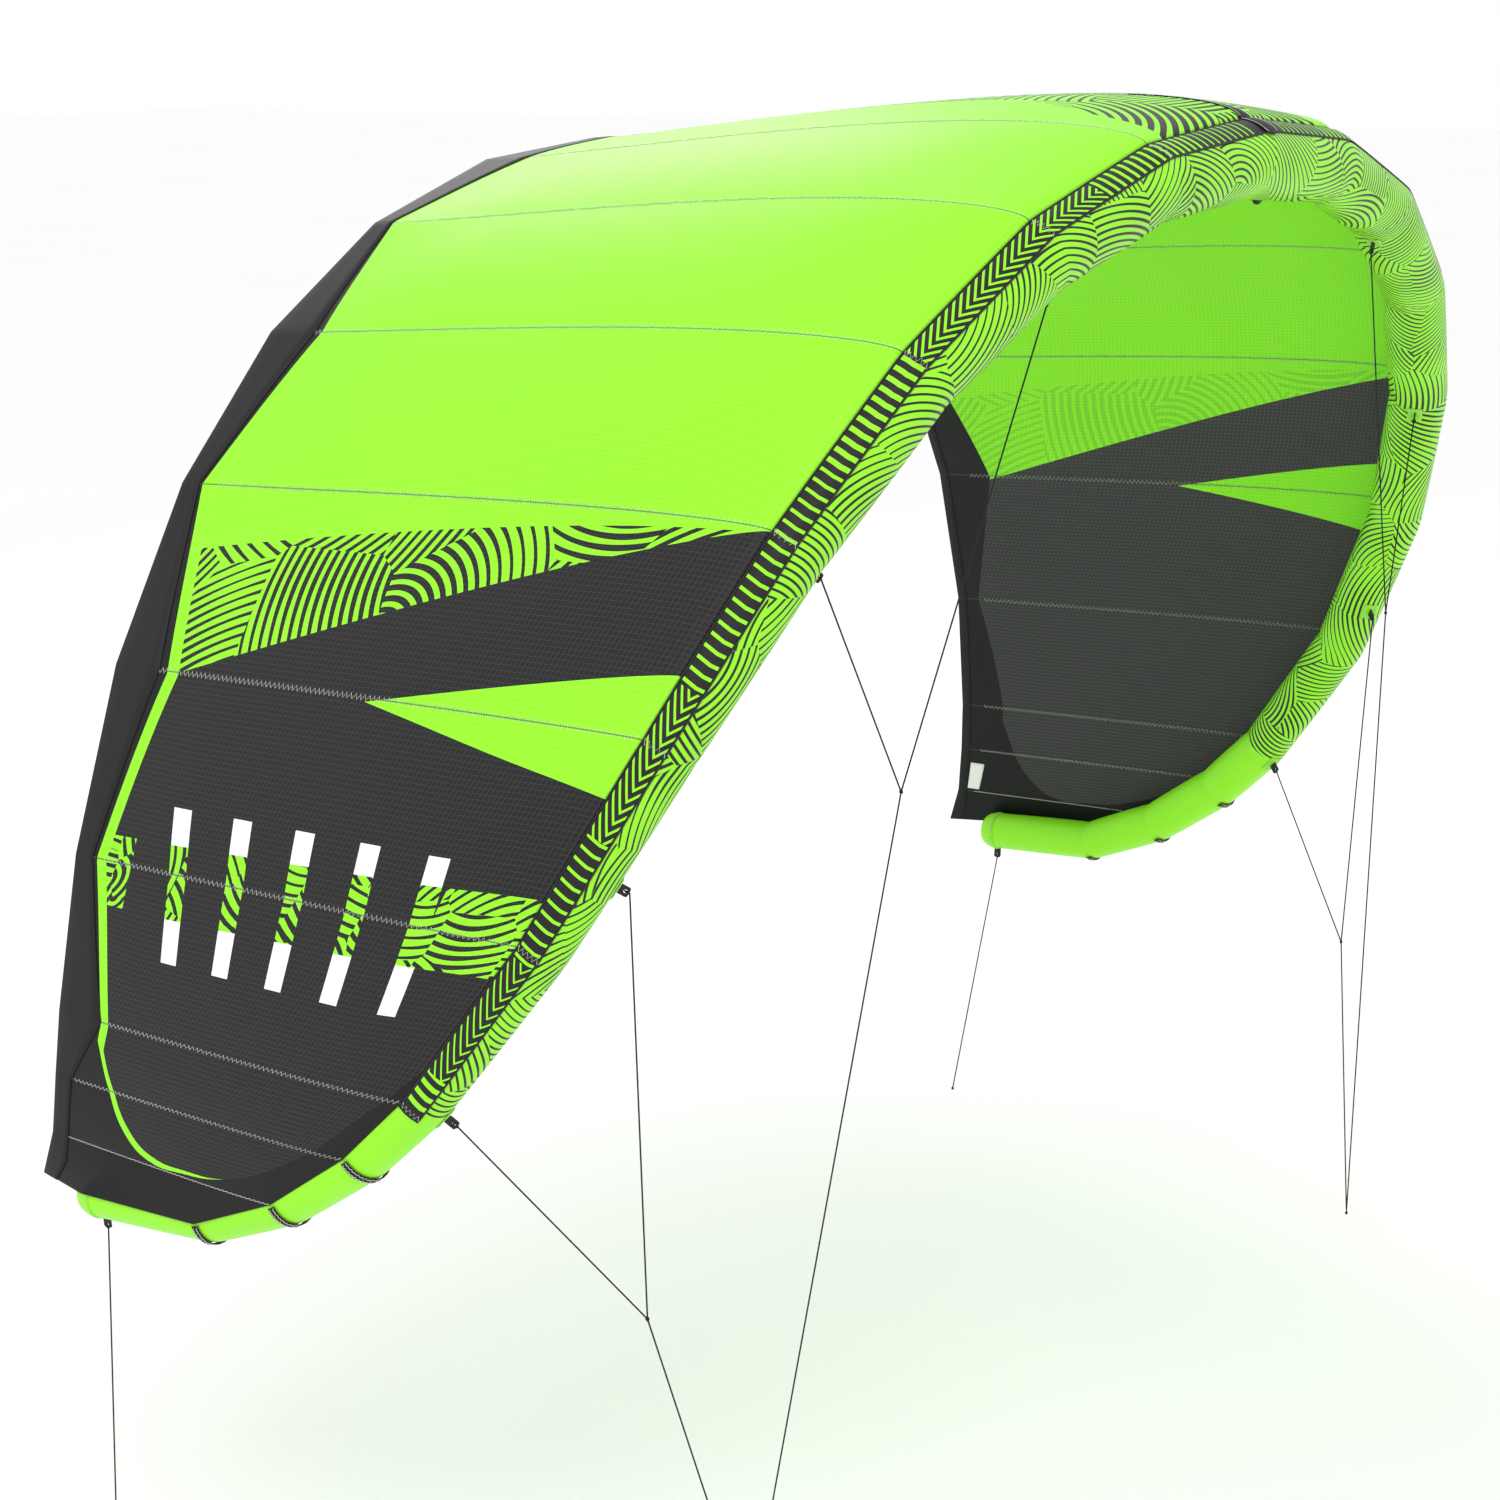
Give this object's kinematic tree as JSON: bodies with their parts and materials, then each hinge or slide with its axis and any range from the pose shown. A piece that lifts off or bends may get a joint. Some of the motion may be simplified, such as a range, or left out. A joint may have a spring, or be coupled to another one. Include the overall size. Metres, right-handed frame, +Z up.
{
  "type": "kitesurf kite",
  "caption": "Inflatable arched kite for kitesurfing with one central strut, swept leading edge tube, sewn canopy panels and a branched bridle on each side.",
  "frame": {"origin": "centre of the leading edge tube on the plane of symmetry, where a display or a test rig holds the wing", "axes": "+X along the span to the right wing tip, +Y from the leading edge to the trailing edge, +Z up; the bridle hangs down"},
  "size_m": [3.3054, 1.659, 2.6102],
  "materials": {
    "canopy_cloth": "satin",
    "sleeve_cloth": "satin",
    "dark_cloth": "matte",
    "bladder_film": "satin",
    "webbing": "matte",
    "line_cord": "matte",
    "valve_plastic": "matte",
    "hose_tube": "matte"
  },
  "bodies": {
    "wing": {"bridle_tabs_left": "webbing", "bridle_tabs_right": "webbing", "canopy_left_1": "canopy_cloth", "canopy_left_2": "canopy_cloth", "canopy_left_3": "canopy_cloth", "canopy_left_4": "canopy_cloth", "canopy_left_5": "canopy_cloth", "canopy_left_6": "canopy_cloth", "canopy_left_7": "canopy_cloth", "canopy_left_tip": "canopy_cloth", "canopy_right_1": "canopy_cloth", "canopy_right_2": "canopy_cloth", "canopy_right_3": "canopy_cloth", "canopy_right_4": "canopy_cloth", "canopy_right_5": "canopy_cloth", "canopy_right_6": "canopy_cloth", "canopy_right_7": "canopy_cloth", "canopy_right_tip": "canopy_cloth", "inflate_valve_body": "valve_plastic", "joint_bands_left": "dark_cloth", "joint_bands_right": "dark_cloth", "leading_edge_bladder": "bladder_film", "leading_edge_sleeve_left_inner": "sleeve_cloth", "leading_edge_sleeve_left_middle": "sleeve_cloth", "leading_edge_sleeve_left_tip": "sleeve_cloth", "leading_edge_sleeve_right_inner": "sleeve_cloth", "leading_edge_sleeve_right_middle": "sleeve_cloth", "leading_edge_sleeve_right_tip": "sleeve_cloth", "one_pump_hose": "hose_tube", "strut_bladder": "bladder_film", "strut_patch": "dark_cloth", "strut_sleeve": "sleeve_cloth", "tip_cap_left": "dark_cloth", "tip_cap_right": "dark_cloth", "trailing_edge_band_left": "dark_cloth", "trailing_edge_band_right": "dark_cloth"},
    "bridle_inner_v_left": {"bridle_inner_front_left": "line_cord", "bridle_inner_rear_left": "line_cord", "inner_knot_left": "line_cord"},
    "bridle_inner_lower_left": {"bridle_inner_leg_left": "line_cord", "front_knot_left": "line_cord"},
    "bridle_outer_v_left": {"bridle_outer_front_left": "line_cord", "bridle_outer_rear_left": "line_cord", "outer_knot_left": "line_cord"},
    "bridle_outer_lower_left": {"bridle_outer_leg_left": "line_cord"},
    "back_line_group_left": {"back_line_left": "line_cord", "back_knot_left": "line_cord"},
    "bridle_inner_v_right": {"bridle_inner_front_right": "line_cord", "bridle_inner_rear_right": "line_cord", "inner_knot_right": "line_cord"},
    "bridle_inner_lower_right": {"bridle_inner_leg_right": "line_cord", "front_knot_right": "line_cord"},
    "bridle_outer_v_right": {"bridle_outer_front_right": "line_cord", "bridle_outer_rear_right": "line_cord", "outer_knot_right": "line_cord"},
    "bridle_outer_lower_right": {"bridle_outer_leg_right": "line_cord"},
    "back_line_group_right": {"back_line_right": "line_cord", "back_knot_right": "line_cord"},
    "valve_lid": {"inflate_valve_lid": "valve_plastic"},
    "clip": {"hose_clip": "valve_plastic"}
  },
  "joints": [
    {"name": "bridle_swing_left", "type": "hinge", "parent": "wing", "child": "bridle_inner_v_left", "pos_m": [-0.6602, 0.0392, -0.2182], "axis": [0.775, -0.1796, 0.6059], "range_deg": [-10, 10]},
    {"name": "inner_leg_pivot_left", "type": "hinge", "parent": "bridle_inner_v_left", "child": "bridle_inner_lower_left", "pos_m": [-0.987, 0.126, -1.012], "axis": [-0.2107, -0.9773, -0.0201], "range_deg": [-4.77, 4.77]},
    {"name": "outer_v_swing_left", "type": "hinge", "parent": "wing", "child": "bridle_outer_v_left", "pos_m": [-1.4458, 0.3593, -1.1194], "axis": [0.211, -0.5482, 0.8093], "range_deg": [-15.1, 15.1]},
    {"name": "outer_leg_pivot_left", "type": "hinge", "parent": "bridle_outer_v_left", "child": "bridle_outer_lower_left", "pos_m": [-1.382, 0.385, -1.883], "axis": [-0.8783, -0.4697, -0.0892], "range_deg": [-11.67, 11.67]},
    {"name": "back_line_swing_left", "type": "hinge", "parent": "wing", "child": "back_line_group_left", "pos_m": [-1.5924, 1.4411, -1.8694], "axis": [1, 0, 0], "range_deg": [-20, 40]},
    {"name": "bridle_swing_right", "type": "hinge", "parent": "wing", "child": "bridle_inner_v_right", "pos_m": [0.6602, 0.0392, -0.2182], "axis": [0.775, 0.1796, -0.6059], "range_deg": [-10, 10]},
    {"name": "inner_leg_pivot_right", "type": "hinge", "parent": "bridle_inner_v_right", "child": "bridle_inner_lower_right", "pos_m": [0.987, 0.126, -1.012], "axis": [-0.2107, 0.9773, 0.0201], "range_deg": [-4.77, 4.77]},
    {"name": "outer_v_swing_right", "type": "hinge", "parent": "wing", "child": "bridle_outer_v_right", "pos_m": [1.4458, 0.3593, -1.1194], "axis": [0.211, 0.5482, -0.8093], "range_deg": [-15.1, 15.1]},
    {"name": "outer_leg_pivot_right", "type": "hinge", "parent": "bridle_outer_v_right", "child": "bridle_outer_lower_right", "pos_m": [1.382, 0.385, -1.883], "axis": [-0.8783, 0.4697, 0.0892], "range_deg": [-11.67, 11.67]},
    {"name": "back_line_swing_right", "type": "hinge", "parent": "wing", "child": "back_line_group_right", "pos_m": [1.5924, 1.4411, -1.8694], "axis": [1, 0, 0], "range_deg": [-20, 40]},
    {"name": "valve_lid_hinge", "type": "hinge", "parent": "wing", "child": "valve_lid", "pos_m": [0.17824, 0.0582, -0.08961], "axis": [-0.9966, -0.0217, 0.0801], "range_deg": [0, 150]},
    {"name": "hose_clip_slide", "type": "slide", "parent": "wing", "child": "clip", "axis": [0, 0.9648, 0.2631], "range_m": [-0.008, 0.012]}
  ],
  "couplings": [
    {"joint": "inner_leg_pivot_left", "follows": "bridle_swing_left", "ratio": 0.4272},
    {"joint": "outer_v_swing_left", "follows": "bridle_swing_left", "ratio": 1.4599},
    {"joint": "outer_leg_pivot_left", "follows": "bridle_swing_left", "ratio": -1.1169},
    {"joint": "inner_leg_pivot_right", "follows": "bridle_swing_right", "ratio": 0.4272},
    {"joint": "outer_v_swing_right", "follows": "bridle_swing_right", "ratio": 1.4599},
    {"joint": "outer_leg_pivot_right", "follows": "bridle_swing_right", "ratio": -1.1169}
  ]
}
